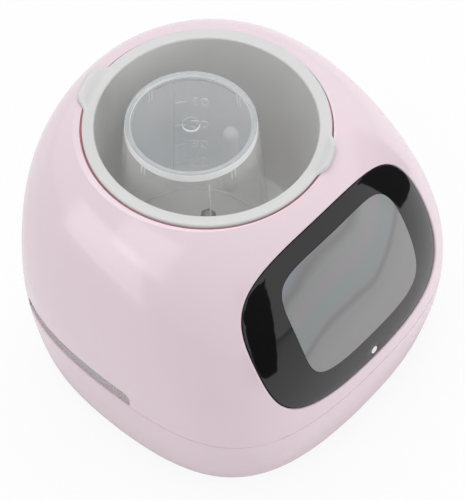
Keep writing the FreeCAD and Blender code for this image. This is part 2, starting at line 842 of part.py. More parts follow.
def fan_rotor():
    low = fan_rotor_bottom
    high = fan_depth - fan_rotor_gap
    tip = fan_size / 2 - fan_wall - fan_tip_gap
    pieces = [cylinder(fan_hub_radius, low, high)]
    for i in range(fan_blades):
        ends = []
        for radius, sweep in ((fan_hub_radius - fan_blade_root, fan_root_sweep), (tip, fan_tip_sweep)):
            corners = [(-sweep, low), (-sweep + fan_blade_thickness, low),
                       (sweep, high), (sweep - fan_blade_thickness, high), (-sweep, low)]
            ends.append(Part.makePolygon([V(radius, y, z) for y, z in corners]))
        blade = Part.makeLoft(ends, True, True)
        pieces.append(blade.rotated(V(0, 0, 0), V(0, 0, 1), 360.0 * i / fan_blades))
    rotor = fused(pieces)
    bore = cylinder(fan_pin_radius + running_clearance, 0, fan_depth - fan_pin_short + running_clearance)
    return fan_placed(rotor.cut(bore).common(cylinder(tip, 0, fan_depth)))


def motor():
    can = cylinder(motor_radius, plate_top_z, plate_top_z + motor_length, 0, motor_y)
    flats = box(-motor_flat, motor_flat, motor_y - motor_radius, motor_y + motor_radius,
                plate_top_z, plate_top_z + motor_length)
    nose = cylinder(motor_nose_radius, plate_z + motor_nose_short, plate_top_z + motor_overlap, 0, motor_y)
    bore_radius = motor_shaft_radius + running_clearance
    bore = cylinder(bore_radius, plate_z, plate_top_z + motor_bore_depth, 0, motor_y)
    end = plate_top_z + motor_length
    cap = cylinder(motor_nose_radius, end - motor_overlap, end + motor_cap_height, 0, motor_y)
    return fused([can.common(flats), nose, cap]).cut(bore)


def motor_shaft():
    return cylinder(motor_shaft_radius, idler_big_z, plate_top_z + motor_shaft_depth, 0, motor_y)


def motor_pinion():
    low = idler_big_z - pinion_overhang
    high = idler_big_z + idler_big_thickness + pinion_overhang
    blank = gear(pinion_teeth, low, high, 90 + 180 / pinion_teeth, motor_y)
    return blank.cut(cylinder(motor_shaft_radius + seat_clearance, 0, plate_z, 0, motor_y))


def idler_gear():
    low = drive_gear_z - idler_overhang
    small = gear(idler_small_teeth, low, idler_big_z, 90 + 180 / idler_small_teeth, idler_y)
    big = gear(idler_big_teeth, idler_big_z, idler_big_z + idler_big_thickness, -90, idler_y)
    return small.fuse(big).cut(cylinder(idler_pin_radius + running_clearance, 0, plate_z, 0, idler_y))


def idler_pin():
    return cylinder(idler_pin_radius, socket_z, plate_top_z, 0, idler_y)


def drive_gear():
    blank = gear(drive_teeth, drive_gear_z, drive_gear_z + drive_gear_thickness, -90, bowl_y)
    return blank.cut(cylinder(shaft_radius + seat_clearance, 0, plate_z, 0, bowl_y))


def drive_shaft():
    return cylinder(shaft_radius, socket_z + shaft_end_gap, coupling_top_z, 0, bowl_y)


def lower_bush():
    inner = shaft_radius + running_clearance
    return tube(shaft_radius + bush_wall, inner, socket_z, floor_z + boss_height, 0, bowl_y)


def upper_bush():
    inner = shaft_radius + running_clearance
    body = tube(shaft_radius + bush_wall, inner, plate_z, plate_top_z, 0, bowl_y)
    outer = shaft_radius + bush_wall + bush_flange
    flange = tube(outer, inner, plate_top_z, plate_top_z + lift_clearance, 0, bowl_y)
    return fused([body, flange])


def drive_coupling():
    bottom = plate_top_z + 2 * lift_clearance
    flange_top = dog_bottom_z - lift_clearance
    head = hexagon(hex_flats, bottom, coupling_top_z, bowl_y)
    flange = cylinder(dog_radius - coupling_flange_step, bottom, flange_top, 0, bowl_y)
    return fused([head, flange]).cut(cylinder(shaft_radius + seat_clearance, 0, rim_z, 0, bowl_y))


def gear_plate():
    half = gear_post_x + plate_margin
    front = motor_y - motor_radius - plate_front_margin
    plate = box(-half, half, front, gear_post_back + plate_margin, plate_z, plate_top_z)
    uprights = [edge for edge in plate.Edges
                if abs(edge.Vertexes[0].Z - edge.Vertexes[-1].Z) > plate_thickness / 2]
    plate = plate.makeFillet(plate_corner, uprights)
    holes = [cylinder(shaft_radius + bush_wall + seat_clearance, 0, seam_z, 0, bowl_y),
             cylinder(idler_pin_radius + seat_clearance, 0, seam_z, 0, idler_y),
             cylinder(motor_nose_radius + seat_clearance, 0, seam_z, 0, motor_y)]
    holes += [cylinder(screw_radius + screw_clearance, 0, seam_z, x, y) for x, y in gear_posts]
    return plate.cut(holes)


def driver_board():
    half = driver_board_width / 2
    top = driver_z + board_thickness
    board = box(-half, half, driver_front, driver_back, driver_z, top)
    can = cylinder(capacitor_radius, top, top + capacitor_height, half - capacitor_inset,
                   (driver_front + driver_back) / 2)
    coil_x = coil_inset - half
    coil_y = driver_front + board_part_rise
    coil = box(coil_x, coil_x + coil_width, coil_y, coil_y + coil_depth, top, top + coil_height)
    return fused([board, can, coil])


def power_inlet():
    half = inlet_width / 2
    bottom = driver_z + board_thickness
    back = driver_back + inlet_step
    body = box(-half, half, back - inlet_body_depth, back, bottom, bottom + inlet_body_height)
    nose = rod_y(inlet_nose_radius, driver_back, body_depth, 0, inlet_z).common(body_solid(inlet_recess))
    socket = rod_y(inlet_bore_radius, back - inlet_body_depth + inlet_floor, body_depth, 0, inlet_z)
    pin_front = back - inlet_body_depth + inlet_floor / 2
    pin = rod_y(inlet_pin_radius, pin_front, back + inlet_pin_reach, 0, inlet_z)
    return fused([fused([body, nose]).cut(socket), pin])


def feet():
    places = four_corners(foot_front, foot_back)
    top = shell_bottom + foot_recess
    return Part.makeCompound([cylinder(foot_radius - foot_clearance, 0, top, x, y) for x, y in places])


def case_screws():
    return Part.makeCompound([screw(x, y, case_screw_z, case_screw_length, 1) for x, y in case_posts])


def plate_screws():
    return Part.makeCompound([screw(x, y, plate_top_z, plate_screw_length, -1) for x, y in gear_posts])


single_pieces = [
    upper_shell, base_shell, feet, case_screws,
    window_panel, screen_film, touch_light, window_carrier, display_module, control_board,
    bowl, bowl_post, spindle, spindle_bush, spindle_seal, bowl_dog, measuring_cup,
    well, well_gasket, well_insulation,
    gear_plate, plate_screws, motor, motor_shaft, motor_pinion, idler_gear, idler_pin,
    drive_gear, drive_shaft, drive_coupling, lower_bush, upper_bush,
    driver_board, power_inlet,
]
for make in single_pieces:
    export(make.__name__, make())
for make in (grille, peltier, heat_sink, fan_frame, fan_rotor):
    on_both_sides(make.__name__, make())
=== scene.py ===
import json
import math
import bmesh
import bpy
from mathutils import Matrix, Vector
from mathutils.geometry import convex_hull_2d


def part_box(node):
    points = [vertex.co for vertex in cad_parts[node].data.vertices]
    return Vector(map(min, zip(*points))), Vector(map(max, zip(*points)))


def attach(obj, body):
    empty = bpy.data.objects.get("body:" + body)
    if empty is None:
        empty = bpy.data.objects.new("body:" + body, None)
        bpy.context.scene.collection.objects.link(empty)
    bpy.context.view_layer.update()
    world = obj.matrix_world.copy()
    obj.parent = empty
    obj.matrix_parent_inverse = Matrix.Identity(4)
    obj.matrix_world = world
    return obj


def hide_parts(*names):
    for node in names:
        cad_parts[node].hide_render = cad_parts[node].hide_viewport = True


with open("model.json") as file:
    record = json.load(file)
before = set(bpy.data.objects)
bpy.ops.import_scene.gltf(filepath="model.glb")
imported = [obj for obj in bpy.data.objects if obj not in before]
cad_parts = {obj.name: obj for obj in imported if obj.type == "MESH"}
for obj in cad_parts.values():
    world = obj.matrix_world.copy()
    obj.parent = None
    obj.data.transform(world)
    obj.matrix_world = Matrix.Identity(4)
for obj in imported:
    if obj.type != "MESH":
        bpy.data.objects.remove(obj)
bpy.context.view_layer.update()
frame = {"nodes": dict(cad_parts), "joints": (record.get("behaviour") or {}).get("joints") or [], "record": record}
nodes = frame["nodes"]
print("frame loaded:", len(nodes), "nodes")

mm = 0.001
joints = {joint["name"]: joint for joint in frame["joints"]}
# the bowl and its seal stand round the spindle's axis
bowlAxis = [part / mm for part in joints["spindle_spin"]["pos_m"][:2]]


def boxOf(node):
    # lowest and highest corners of a CAD node, in mm
    low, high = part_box(node)
    return low / mm, high / mm


def radiusAt(spot, axis):
    # distance in mm from a vertical axis, for a place in metres
    return math.hypot(spot.x / mm - axis[0], spot.y / mm - axis[1])


# expressions on sockets add Math nodes
class Value:
    def __init__(self, graph, socket):
        self.graph = graph
        self.socket = socket

    def combine(self, operation, first, second):
        return self.graph.node("ShaderNodeMath", {"operation": operation}, {0: first, 1: second})

    def __add__(self, other):
        return self.combine("ADD", self, other)

    def __radd__(self, other):
        return self.combine("ADD", other, self)

    def __sub__(self, other):
        return self.combine("SUBTRACT", self, other)

    def __rsub__(self, other):
        return self.combine("SUBTRACT", other, self)

    def __mul__(self, other):
        return self.combine("MULTIPLY", self, other)

    def __rmul__(self, other):
        return self.combine("MULTIPLY", other, self)


class Graph:
    def __init__(self, tree):
        self.tree = tree

    def node(self, kind, settings=None, inputs=None, output=0):
        made = self.tree.nodes.new(kind)
        for key, value in (settings or {}).items():
            if key == "stops":
                ramp = made.color_ramp
                for index, (place, colour) in enumerate(value):  # a new ramp has two stops
                    stop = ramp.elements[index] if index < 2 else ramp.elements.new(place)
                    stop.position = place
                    stop.color = (*colour, 1.0)
            else:
                setattr(made, key, value)
        for key, value in (inputs or {}).items():
            self.feed(made.inputs[key], value)
        return Value(self, made.outputs[output])

    def feed(self, socket, value):
        if isinstance(value, Value):
            self.tree.links.new(value.socket, socket)
        else:
            socket.default_value = value


class Surface(Graph):
    def __init__(self, name):
        self.material = bpy.data.materials.new(name)
        self.material.use_nodes = True
        super().__init__(self.material.node_tree)
        self.shader = self.tree.nodes["Principled BSDF"]

    def place(self):
        return self.node("ShaderNodeTexCoord", output="Object")

    def axes(self):
        split = self.node("ShaderNodeSeparateXYZ", None, {0: self.place()})
        return {socket.name: Value(self, socket) for socket in split.socket.node.outputs}

    def noise(self, scale, detail=3.0):
        sockets = {"Vector": self.place(), "Scale": scale, "Detail": detail}
        return self.node("ShaderNodeTexNoise", None, sockets)

    def blend(self, factor, low, high):
        colours = {0: factor, 6: (*low, 1.0), 7: (*high, 1.0)}  # a Mix node's own sockets for colours
        return self.node("ShaderNodeMix", {"data_type": "RGBA"}, colours, output=2)

    def set(self, **values):
        for key, value in values.items():
            self.feed(self.shader.inputs[key.replace("_", " ")], value)


# a Geometry Nodes tree with named inputs, turned into a plain mesh
class Pattern(Graph):
    def __init__(self, name, inputs):
        super().__init__(bpy.data.node_groups.new(name, "GeometryNodeTree"))
        self.name = name
        self.values = {}
        self.tree.interface.new_socket("Geometry", in_out="OUTPUT", socket_type="NodeSocketGeometry")
        for label, (kind, value) in inputs.items():
            socket = self.tree.interface.new_socket(label, in_out="INPUT", socket_type=kind)
            self.values[socket.identifier] = value
        self.entry = self.tree.nodes.new("NodeGroupInput")
        self.exit = self.tree.nodes.new("NodeGroupOutput")

    def given(self, label):
        return Value(self, self.entry.outputs[label])

    def vector(self, x, y, z):
        return self.node("ShaderNodeCombineXYZ", None, {0: x, 1: y, 2: z})

    def mesh(self, geometry, material):
        plain = self.node("GeometryNodeRealizeInstances", None, {0: geometry})
        painted = self.node("GeometryNodeSetMaterial", None, {"Geometry": plain, "Material": material})
        self.feed(self.exit.inputs[0], painted)
        carrier = bpy.data.objects.new(self.name, bpy.data.meshes.new(self.name))
        bpy.context.scene.collection.objects.link(carrier)
        modifier = carrier.modifiers.new("pattern", "NODES")
        modifier.node_group = self.tree
        for identifier, value in self.values.items():
            modifier[identifier] = value
        view = bpy.context.evaluated_depsgraph_get()
        made = bpy.data.meshes.new_from_object(carrier.evaluated_get(view))
        carrier.modifiers.clear()
        bpy.data.objects.remove(carrier)
        return made


# what a finish has where its own line says nothing else
plainFinish = dict(spread=0.03, roughDrift=0.06, metal=0.0, ior=1.5, coat=0.0, coatRough=0.08,
                   edgeBlend=0.35)


def scaled(colour, factor):
    return tuple(part * factor for part in colour)


def uneven(settings, drift):
    # roughness that follows the noise, whose middle is a half
    return settings["rough"] + settings["roughDrift"] * (drift - 0.5)


def mottled(name, settings):
    # a finish whose colour and roughness drift a little over the surface
    s = {**plainFinish, **settings}
    surface = Surface(name)
    drift = surface.noise(s["grain"])
    low = scaled(s["colour"], 1 - s["spread"])
    high = scaled(s["colour"], 1 + s["spread"])
    surface.set(Base_Color=surface.blend(drift, low, high), Roughness=uneven(s, drift),
                Metallic=s["metal"], IOR=s["ior"], Coat_Weight=s["coat"], Coat_Roughness=s["coatRough"])
    return surface


def milky(name, settings):
    # translucent plastic: clear seen square on, whiter along its edges
    s = {**plainFinish, **settings}
    surface = mottled(name, settings)
    edge = surface.node("ShaderNodeLayerWeight", None, {"Blend": s["edgeBlend"]}, output="Facing")
    surface.set(Alpha=s["clear"] + (s["edge"] - s["clear"]) * edge)
    return surface


def streakedFilm(name, settings):
    # film with thin bent darker streaks across it, and a faint play of colour beside them
    s = settings
    low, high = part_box("screen_film")
    surface = Surface(name)
    place = surface.axes()
    across = (2.0 / (high.x - low.x)) * place["X"]
    upwards = (2.0 / (high.z - low.z)) * (place["Z"] - (low.z + high.z) / 2)
    drift = surface.noise(s["grain"], s["detail"])
    bendTurn = s["bendRate"] * across + s["bendStart"]
    bend = surface.node("ShaderNodeMath", {"operation": "SINE"}, {0: bendTurn})
    streak = upwards - s["slant"] * across + s["bend"] * bend + s["wander"] * (drift - 0.5)
    tone = surface.node("ShaderNodeValToRGB", {"stops": s["tones"]}, {0: 0.5 + s["toneRate"] * streak})
    surface.set(Base_Color=tone, Roughness=uneven(s, drift))
    return surface


def paintedLightByHeight(name, settings):
    # painted light: one plastic painted paler from the rim down to the floor, for the light from above that
    # reaches the floor
    s = {**plainFinish, **settings}
    surface = Surface(name)
    height = surface.node("ShaderNodeMapRange", None, {
        "Value": surface.axes()["Z"], "From Min": s["low"] * mm, "From Max": s["high"] * mm})
    drift = surface.noise(s["grain"])
    surface.set(Base_Color=surface.blend(height, s["floor"], s["rim"]), Roughness=uneven(s, drift))
    return surface


def cored(name, settings):
    # dark plastic round a paler core
    s = settings
    surface = Surface(name)
    axis = (bowlAxis[0] * mm, bowlAxis[1] * mm, 0.0)
    away = surface.node("ShaderNodeVectorMath", {"operation": "SUBTRACT"}, {0: surface.place(), 1: axis})
    level = surface.node("ShaderNodeVectorMath", {"operation": "MULTIPLY"}, {0: away, 1: (1.0, 1.0, 0.0)})
    radius = surface.node("ShaderNodeVectorMath", {"operation": "LENGTH"}, {0: level}, output="Value")
    outside = surface.node("ShaderNodeMapRange", None, {
        "Value": radius, "From Min": s["core"] * mm, "From Max": (s["core"] + s["soft"]) * mm})
    surface.set(Base_Color=surface.blend(outside, s["pale"], s["dark"]), Roughness=s["rough"])
    return surface


# plain finishes: the record's slots, apart from the cup and the film, then the post and the slots' dots
finishes = {
    "pink_shell": dict(colour=(0.80, 0.655, 0.715), rough=0.24, grain=14.0, spread=0.008, coat=0.35),
    "black_window": dict(colour=(0.0045, 0.0045, 0.005), rough=0.06, grain=20.0, ior=1.57),
    "white_light": dict(colour=(0.84, 0.83, 0.83), rough=0.35, grain=60.0),
    "grey_bowl": dict(colour=(0.645, 0.645, 0.645), rough=0.34, grain=25.0, spread=0.01),
    "dark_spindle": dict(colour=(0.012, 0.012, 0.013), rough=0.55, grain=80.0),
    "grey_grille": dict(colour=(0.49, 0.445, 0.455), rough=0.7, grain=900.0, spread=0.12),
    "black_plastic": dict(colour=(0.022, 0.022, 0.024), rough=0.5, grain=200.0),
    "white_gear": dict(colour=(0.74, 0.73, 0.68), rough=0.45, grain=60.0),
    "steel": dict(colour=(0.56, 0.56, 0.57), rough=0.32, grain=120.0, metal=1.0),
    "motor_steel": dict(colour=(0.52, 0.52, 0.53), rough=0.35, grain=90.0, metal=1.0),
    "bronze": dict(colour=(0.60, 0.42, 0.22), rough=0.42, grain=300.0, metal=1.0),
    "aluminium": dict(colour=(0.74, 0.75, 0.76), rough=0.38, grain=150.0, metal=1.0),
    "ceramic": dict(colour=(0.82, 0.82, 0.80), rough=0.55, grain=90.0),
    "board": dict(colour=(0.03, 0.16, 0.07), rough=0.4, grain=150.0),
    "foam": dict(colour=(0.15, 0.15, 0.16), rough=0.9, grain=600.0, spread=0.15),
    "rubber": dict(colour=(0.045, 0.045, 0.045), rough=0.8, grain=300.0),
    "soft_seal": dict(colour=(0.52, 0.52, 0.52), rough=0.6, grain=100.0),
    "rose_seal": dict(colour=(0.52, 0.17, 0.22), rough=0.5, grain=100.0),
    # painted light: the post is a paler copy of the bowl's plastic, for the light on it under the cup
    "palePost": dict(colour=(0.95, 0.94, 0.91), rough=0.35, grain=60.0, spread=0.01),
    "grilleDot": dict(colour=(0.34, 0.31, 0.315), rough=0.6, grain=900.0, spread=0.2),
}
cupPlain = dict(colour=(0.98, 0.98, 0.98), rough=0.18, grain=20.0, spread=0.01)
cupFinishes = {
    "clear_cup": dict(cupPlain, rough=0.16, clear=0.13, edge=0.46),
    # upright edges: partly the plastic's thickness seen edge-on, partly a painted highlight
    "cupEdge": dict(cupPlain, clear=0.92, edge=1.0),
    "cupRing": dict(cupPlain, colour=(0.66, 0.72, 0.77), clear=0.42, edge=0.62),
    "cupBase": dict(cupPlain, colour=(0.78, 0.83, 0.88), rough=0.20, grain=25.0, spread=0.02, clear=0.115,
                    edge=0.24),
    # painted highlight on the inner upright face of the foot
    "cupGlint": dict(cupPlain, clear=0.95, edge=1.0),
    "cupLine": dict(cupPlain, colour=(0.93, 0.94, 0.94), rough=0.20, grain=40.0, clear=0.40, edge=0.58),
    "cupMark": dict(cupPlain, colour=(0.96, 0.96, 0.96), rough=0.20, grain=40.0, clear=0.90, edge=1.0),
}
# painted light: the bowl's inside is a paler copy of the bowl's grey, palest at the floor
bowlInsidePaintedLightFinish = dict(low=26.0, high=76.0, floor=(0.92, 0.917, 0.912), rim=(0.70, 0.697, 0.692),
                        rough=0.30, grain=25.0)
filmFinish = dict(slant=0.35, bend=0.09, bendRate=3.74, bendStart=0.3, wander=0.22, grain=55.0,
                  detail=2.0, rough=0.30, roughDrift=0.1, toneRate=0.3, tones=[
                      (0.0, (0.25, 0.27, 0.27)),
                      (0.20, (0.27, 0.26, 0.27)),
                      (0.33, (0.28, 0.28, 0.28)),
                      (0.465, (0.27, 0.27, 0.27)),
                      (0.495, (0.21, 0.20, 0.21)),  # lower streak
                      (0.525, (0.26, 0.27, 0.28)),
                      (0.60, (0.25, 0.28, 0.28)),
                      (0.67, (0.29, 0.27, 0.29)),
                      (0.735, (0.25, 0.27, 0.26)),
                      (0.775, (0.20, 0.19, 0.19)),  # upper streak
                      (0.82, (0.23, 0.25, 0.28)),
                      (1.0, (0.27, 0.28, 0.28)),
                  ])
surfaces = {slot: mottled(slot, settings) for slot, settings in finishes.items()}
surfaces.update({slot: milky(slot, settings) for slot, settings in cupFinishes.items()})
surfaces["clear_film"] = streakedFilm("clear_film", filmFinish)
surfaces["bowlInside"] = paintedLightByHeight("bowlInside", bowlInsidePaintedLightFinish)
for subpart in frame["record"]["subparts"]:
    nodeMesh = nodes[subpart["node"]].data
    nodeMesh.materials.clear()
    nodeMesh.materials.append(surfaces[subpart["material_slot"]].material)
# painted light: the post under the cup takes a paler plastic than the bowl
nodes["bowl_post"].data.materials[0] = surfaces["palePost"].material
print("finishes:", len(surfaces))


# in metres: points closer than merge become one, and edges shorter than sliver are taken out
meshSettings = dict(merge=1e-7, sliver=1e-8)


def sameSide(mesh):
    # closed mesh: doubles merged, faces turned outwards
    work = bmesh.new()
    work.from_mesh(mesh)
    bmesh.ops.remove_doubles(work, verts=work.verts, dist=meshSettings["merge"])
    bmesh.ops.dissolve_degenerate(work, edges=work.edges, dist=meshSettings["sliver"])
    bmesh.ops.recalc_face_normals(work, faces=work.faces)
    work.to_mesh(mesh)
    work.free()


def addPiece(name, mesh, finishNames, body, creaseDegrees=35.0):
    for finishName in finishNames:
        mesh.materials.append(surfaces[finishName].material)
    mesh.shade_smooth()
    mesh.set_sharp_from_angle(angle=math.radians(creaseDegrees))
    piece = bpy.data.objects.new(name, mesh)
    bpy.context.scene.collection.objects.link(piece)
    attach(piece, body)
    return piece


def turned(name, profileAt, steps, centre):
    # closed outline of (radius, height) in mm, swept round a vertical axis; it may change with the angle
    points = []
    faces = []
    for step in range(steps):
        angle = 2 * math.pi * step / steps
        outline = profileAt(angle)
        count = len(outline)
        for r, z in outline:
            x = centre[0] + r * math.cos(angle)
            y = centre[1] + r * math.sin(angle)
            points.append((x * mm, y * mm, z * mm))
        after = (step + 1) % steps
        for i in range(count):
            j = (i + 1) % count
            faces.append((step * count + i, after * count + i, after * count + j, step * count + j))
    mesh = bpy.data.meshes.new(name)
    mesh.from_pydata(points, [], faces)
    sameSide(mesh)
    return mesh


def arc(centre, radius, start, end, count):
    # points on an arc, angles in degrees
    out = []
    for i in range(count + 1):
        angle = math.radians(start + (end - start) * i / count)
        out.append((centre[0] + radius * math.cos(angle), centre[1] + radius * math.sin(angle)))
    return out


def eased(value):
    value = min(max(value, 0.0), 1.0)
    return value * value * (3 - 2 * value)


# lift-out bowl: lathe outline that swells into the two grip lugs
bowlLow, bowlHigh = boxOf("bowl")
bowlSettings = dict(
    radius=29.0, footRadius=27.8, wall=1.3, corner=1.0, floorWall=1.6,
    floorTop=boxOf("bowl_post")[0].z,  # the post stands on it
    hubBottom=bowlLow.z, hubTop=27.7, hubRadius=6.6, hubTaper=1.0, bore=4.57,
    rimRadius=bowlHigh.x - bowlAxis[0], flatStart=1.9, rimDrop=3.0, rimRound=0.5, rimEase=0.3,
    swell=0.30, swellAngle=20.0, skirtStart=0.1, skirtLength=0.6,
    lugTop=bowlHigh.z, lugLift=1.0, lugEdge=0.7, lugThick=1.4, lugFall=0.05, lugBlend=9.0, riseStart=0.15,
    lugs=[dict(angle=-67.0, halfSpan=9.0, reach=1.7), dict(angle=108.5, halfSpan=10.5, reach=3.0)],
    steps=480, flatSteps=8, skirtSteps=4, turnSteps=6, insideSlack=0.1)


def lugAt(angle, settings):
    # how far the lug has swollen, 0 to 1, and how far it reaches
    share = 0.0
    reach = 0.0
    for lug in settings["lugs"]:
        away = (math.degrees(angle) - lug["angle"] + 180.0) % 360.0 - 180.0
        here = eased((lug["halfSpan"] + settings["lugBlend"] / 2 - abs(away)) / settings["lugBlend"])
        if here > share:
            share = here
            reach = lug["reach"]
    return share, reach


def rimSwell(angle):
    # the rim sits closer to the opening on one side
    s = bowlSettings
    return s["swell"] * max(0.0, math.cos(angle - math.radians(s["swellAngle"])))


def bowlOutline(angle):
    s = bowlSettings
    share, reach = lugAt(angle, s)
    top = s["lugTop"] - s["lugLift"]
    rim = s["rimRadius"] + rimSwell(angle)
    edge = s["rimRound"]
    turns = s["turnSteps"]
    inner = s["radius"] + s["flatStart"]
    tip = rim + reach
    plain = []
    lug = []
    for i in range(s["flatSteps"] + 1):  # rim's flat, or the lug's rising top
        t = i / s["flatSteps"]
        rise = eased(s["riseStart"] + (1 - s["riseStart"]) * t) - eased(s["riseStart"]) * (1 - t)
        plain.append((inner + t * (rim - edge - inner), top))
        lug.append((inner + t * (tip - s["lugEdge"] - inner), top + s["lugLift"] * rise))
    plain += arc((rim - edge, top - edge), edge, 90, 0, turns)
    lug += arc((tip - s["lugEdge"], s["lugTop"] - s["lugEdge"]), s["lugEdge"], 90, 0, turns)
    for i in range(s["skirtSteps"] + 1):  # down the skirt, or under the lug
        t = i / s["skirtSteps"]
        plain.append((rim, top - edge - s["skirtStart"] - s["skirtLength"] * t))
        lug.append((tip + t * (rim - tip), s["lugTop"] - s["lugThick"] - s["lugFall"] * t))
    outer = [(a[0] + share * (b[0] - a[0]), a[1] + share * (b[1] - a[1])) for a, b in zip(plain, lug)]
    low = top - s["rimDrop"]
    floor = s["floorTop"] - s["floorWall"]
    bend = s["corner"] + s["wall"]
    foot = s["footRadius"] - s["corner"]
    outside = [(rim, low + s["rimEase"]), (rim - s["rimEase"], low), (s["radius"] + s["wall"], low)]
    outside += arc((foot, floor + bend), bend, 0, -90, turns)
    outside += [(s["hubRadius"], floor), (s["hubRadius"], s["hubBottom"]), (s["bore"], s["hubBottom"]),
                (s["bore"], s["hubTop"]), (s["hubRadius"] - s["hubTaper"], s["hubTop"]),
                (s["hubRadius"], s["floorTop"])]
    inside = arc((foot, s["floorTop"] + s["corner"]), s["corner"], -90, 0, turns)
    rimInside = arc((s["radius"] + edge, top - edge), edge, 180, 90, turns)
    return outer + outside + inside + rimInside


def insideBowl(spot):
    s = bowlSettings
    within = radiusAt(spot, bowlAxis) < s["radius"] + s["insideSlack"]
    return within and spot.z / mm > s["floorTop"] - s["insideSlack"]


bowlMesh = turned("bowlLathe", bowlOutline, bowlSettings["steps"], bowlAxis)
bowlParts = ["grey_bowl", "bowlInside"]
bowlPiece = addPiece("bowlMoulding", bowlMesh, bowlParts, "bowl", creaseDegrees=40.0)
# the inside of the bowl takes the copy with painted light
for polygon in bowlMesh.polygons:
    polygon.material_index = bowlParts.index("bowlInside" if insideBowl(polygon.center) else "grey_bowl")
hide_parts("bowl")
print("bowl:", len(bowlMesh.polygons), "faces")


# spindle: the CAD piece with a shorter head, dark flutes round a paler core
spindleSettings = dict(headStart=36.0, cadTop=boxOf("spindle")[1].z, top=39.5, core=0.9, soft=0.35,
                       pale=(0.30, 0.26, 0.26), dark=(0.006, 0.006, 0.007), rough=0.55)


def shortSpindle(source, settings):
    mesh = source.data.copy()
    mesh.materials.clear()
    start = settings["headStart"]
    squash = (settings["top"] - start) / (settings["cadTop"] - start)
    for vertex in mesh.vertices:
        above = vertex.co.z / mm - start
        if above > 0:
            vertex.co.z = (start + above * squash) * mm
    sameSide(mesh)
    return mesh


surfaces["spindleHead"] = cored("spindleHead", spindleSettings)
spindleMesh = shortSpindle(nodes["spindle"], spindleSettings)
spindlePiece = addPiece("spindleMoulding", spindleMesh, ["spindleHead"], "spindle")
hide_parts("spindle")
print("spindle:", len(spindleMesh.polygons), "faces")


# black window: the CAD panel with its front edge eased, so that the edge takes a highlight
windowSettings = dict(round=0.35, segments=3, profile=0.5, sharp=50.0, facing=(0.0, -0.77, 0.64),
                      lowest=0.4, merge=1e-6)


def easedWindow(source, settings):
    mesh = source.data.copy()
    mesh.materials.clear()
    facing = Vector(settings["facing"])
    work = bmesh.new()
    work.from_mesh(mesh)
    bmesh.ops.remove_doubles(work, verts=work.verts, dist=settings["merge"])
    edges = []
    for edge in work.edges:
        if len(edge.link_faces) != 2 or edge.calc_face_angle() < math.radians(settings["sharp"]):
            continue
        if max(face.normal.dot(facing) for face in edge.link_faces) > settings["lowest"]:
            edges.append(edge)
    bmesh.ops.bevel(work, geom=edges, offset=settings["round"] * mm, segments=settings["segments"],
                    profile=settings["profile"], affect="EDGES", clamp_overlap=True)
    work.to_mesh(mesh)
    work.free()
    return mesh


windowMesh = easedWindow(nodes["window_panel"], windowSettings)
windowPiece = addPiece("windowPane", windowMesh, ["black_window"], "housing",
                       creaseDegrees=20.0)
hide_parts("window_panel")
print("window:", len(windowMesh.polygons), "faces")


# bead of the lower shell's lip: it stands in the seam, just under the surface, so that the seam is shallow
seamSettings = dict(bottom=23.5, top=23.9, recess=0.08, width=0.6, levelSlack=0.005)


def seamRing(source, settings):
    edge = [vertex.co.xy for vertex in source.data.vertices
            if abs(vertex.co.z / mm - settings["bottom"]) < settings["levelSlack"]]
    edge = [edge[i] for i in convex_hull_2d(edge)]
    points = []
    faces = []
    for i, spot in enumerate(edge):
        after = (i + 1) % len(edge)
        along = edge[after] - edge[i - 1]
        inwards = Vector((-along.y, along.x)).normalized()
        if inwards.dot(spot) > 0:
            inwards = -inwards
        outer = spot + settings["recess"] * mm * inwards
        inner = outer + settings["width"] * mm * inwards
        for corner, z in ((outer, "bottom"), (outer, "top"), (inner, "top"), (inner, "bottom")):
            points.append((*corner, settings[z] * mm))
        for j in range(4):
            k = (j + 1) % 4
            faces.append((4 * i + j, 4 * after + j, 4 * after + k, 4 * i + k))
    mesh = bpy.data.meshes.new("seamRing")
    mesh.from_pydata(points, [], faces)
    sameSide(mesh)
    return mesh


seamMesh = seamRing(nodes["base_shell"], seamSettings)
addPiece("seamBead", seamMesh, ["pink_shell"], "housing", creaseDegrees=40.0)
print("seam bead:", len(seamMesh.polygons), "faces")


# rose gasket: flat ring under the rim, with a lip that stands up in the gap round it
gasketLow, gasketHigh = boxOf("well_gasket")
gasketSettings = dict(inner=30.7, outer=32.72, bottom=gasketLow.z, top=gasketHigh.z, lipInner=32.37,
                      lipTop=77.72, lipRound=0.12, steps=360, turnSteps=3)


def gasketOutline(angle):
    s = gasketSettings
    lipInner = s["lipInner"] + rimSwell(angle)
    turn = s["lipRound"] * (s["outer"] - lipInner) / (s["outer"] - s["lipInner"])
    crown = arc((s["outer"] - turn, s["lipTop"] - turn), turn, 0, 90, s["turnSteps"])
    crown += arc((lipInner + turn, s["lipTop"] - turn), turn, 90, 180, s["turnSteps"])
    under = [(s["inner"], s["bottom"]), (s["outer"], s["bottom"])]
    return under + crown + [(lipInner, s["top"]), (s["inner"], s["top"])]


gasketMesh = turned("gasketLathe", gasketOutline, gasketSettings["steps"], bowlAxis)
gasketPiece = addPiece("gasketMoulding", gasketMesh, ["rose_seal"], "housing",
                       creaseDegrees=50.0)
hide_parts("well_gasket")
print("gasket:", len(gasketMesh.polygons), "faces")


